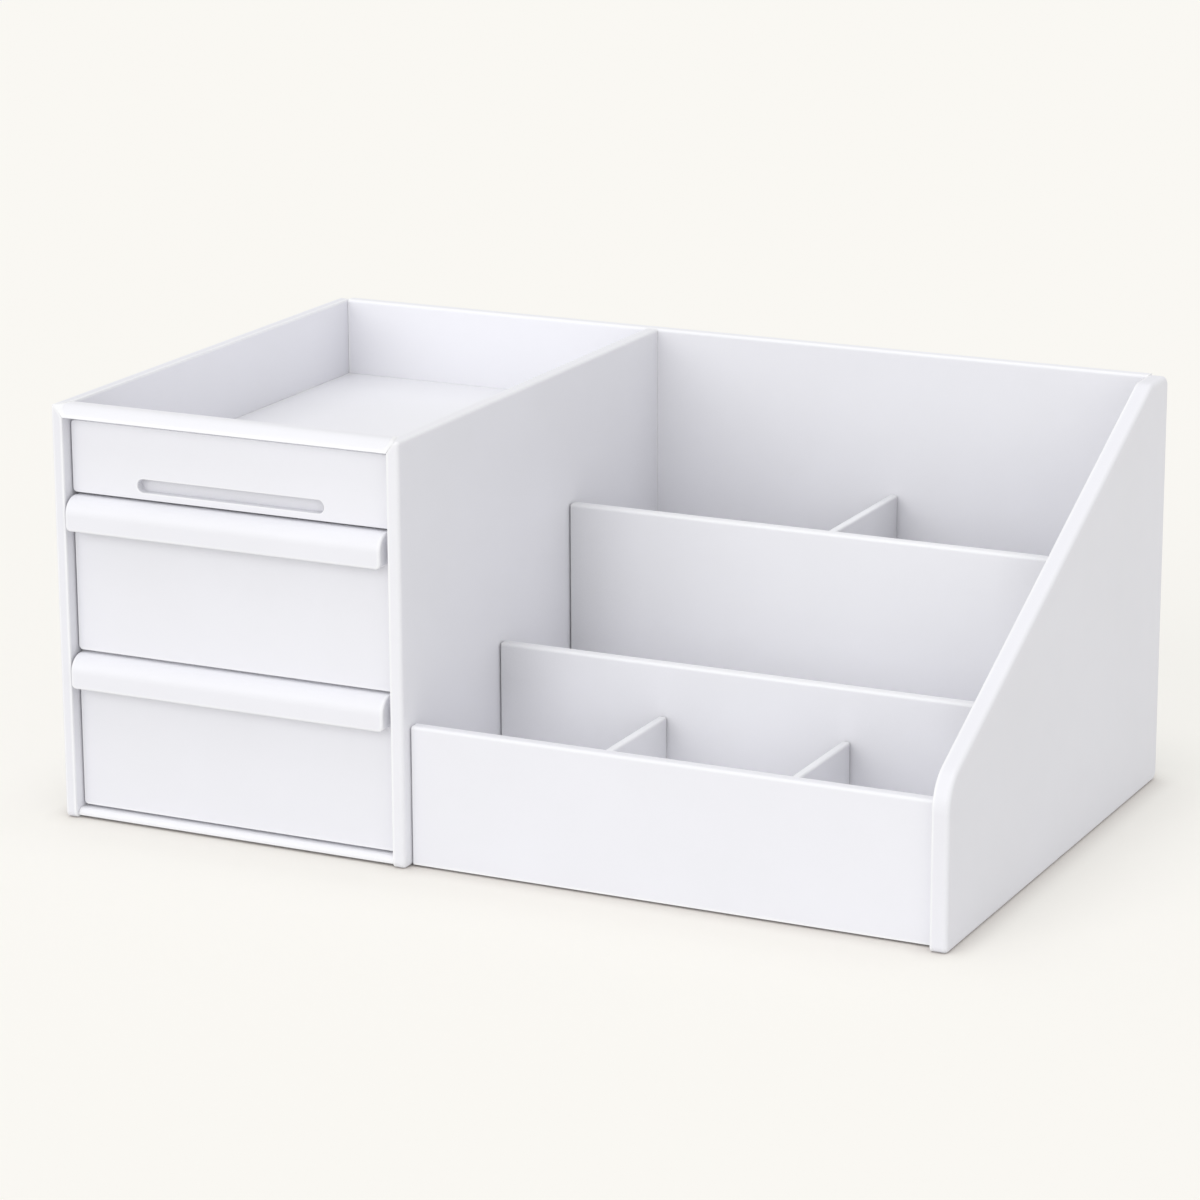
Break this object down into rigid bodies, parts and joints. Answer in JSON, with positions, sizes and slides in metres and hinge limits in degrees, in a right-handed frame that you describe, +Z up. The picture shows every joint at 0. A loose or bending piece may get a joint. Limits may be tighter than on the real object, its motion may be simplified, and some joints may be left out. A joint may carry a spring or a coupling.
{
  "type": "makeup organizer with drawers",
  "caption": "Desktop make-up organizer: drawer unit with an open top tray on the left, stepped open compartments on the right, a sloped side panel and full-width pull bars.",
  "frame": {"origin": "middle of the footprint, pull bars included, at table height", "axes": "+X to the right along the width, +Y to the back, +Z up"},
  "size_m": [0.34, 0.2126, 0.1525],
  "materials": {
    "satin_plastic": "satin white moulded plastic of the panels",
    "front_plastic": "satin white moulded plastic of the drawer fronts",
    "wall_plastic": "satin white moulded plastic of the walls between the compartments",
    "floor_plastic": "fine matt white moulded plastic of the level plates",
    "box_plastic": "fine matt white moulded plastic of the drawer boxes"
  },
  "bodies": {
    "organizer": {"left_side_panel": "satin_plastic", "middle_side_panel": "satin_plastic", "right_side_panel": "satin_plastic", "back_panel": "satin_plastic", "tray_front_rim": "satin_plastic", "tray_front_board": "front_plastic", "tray_floor": "floor_plastic", "drawer_shelf": "floor_plastic", "drawer_bay_base": "floor_plastic", "compartment_base": "floor_plastic", "compartment_front_panel": "satin_plastic", "middle_step_wall": "wall_plastic", "rear_step_wall": "wall_plastic", "front_row_divider_left": "wall_plastic", "front_row_divider_right": "wall_plastic", "rear_row_divider": "wall_plastic"},
    "upper_drawer": {"upper_drawer_front": "front_plastic", "upper_drawer_box": "box_plastic"},
    "lower_drawer": {"lower_drawer_front": "front_plastic", "lower_drawer_box": "box_plastic"}
  },
  "joints": [
    {"name": "upper_drawer_slide", "type": "slide", "parent": "organizer", "child": "upper_drawer", "axis": [0, -1, 0], "range_m": [0, 0.15]},
    {"name": "lower_drawer_slide", "type": "slide", "parent": "organizer", "child": "lower_drawer", "axis": [0, -1, 0], "range_m": [0, 0.15]}
  ]
}
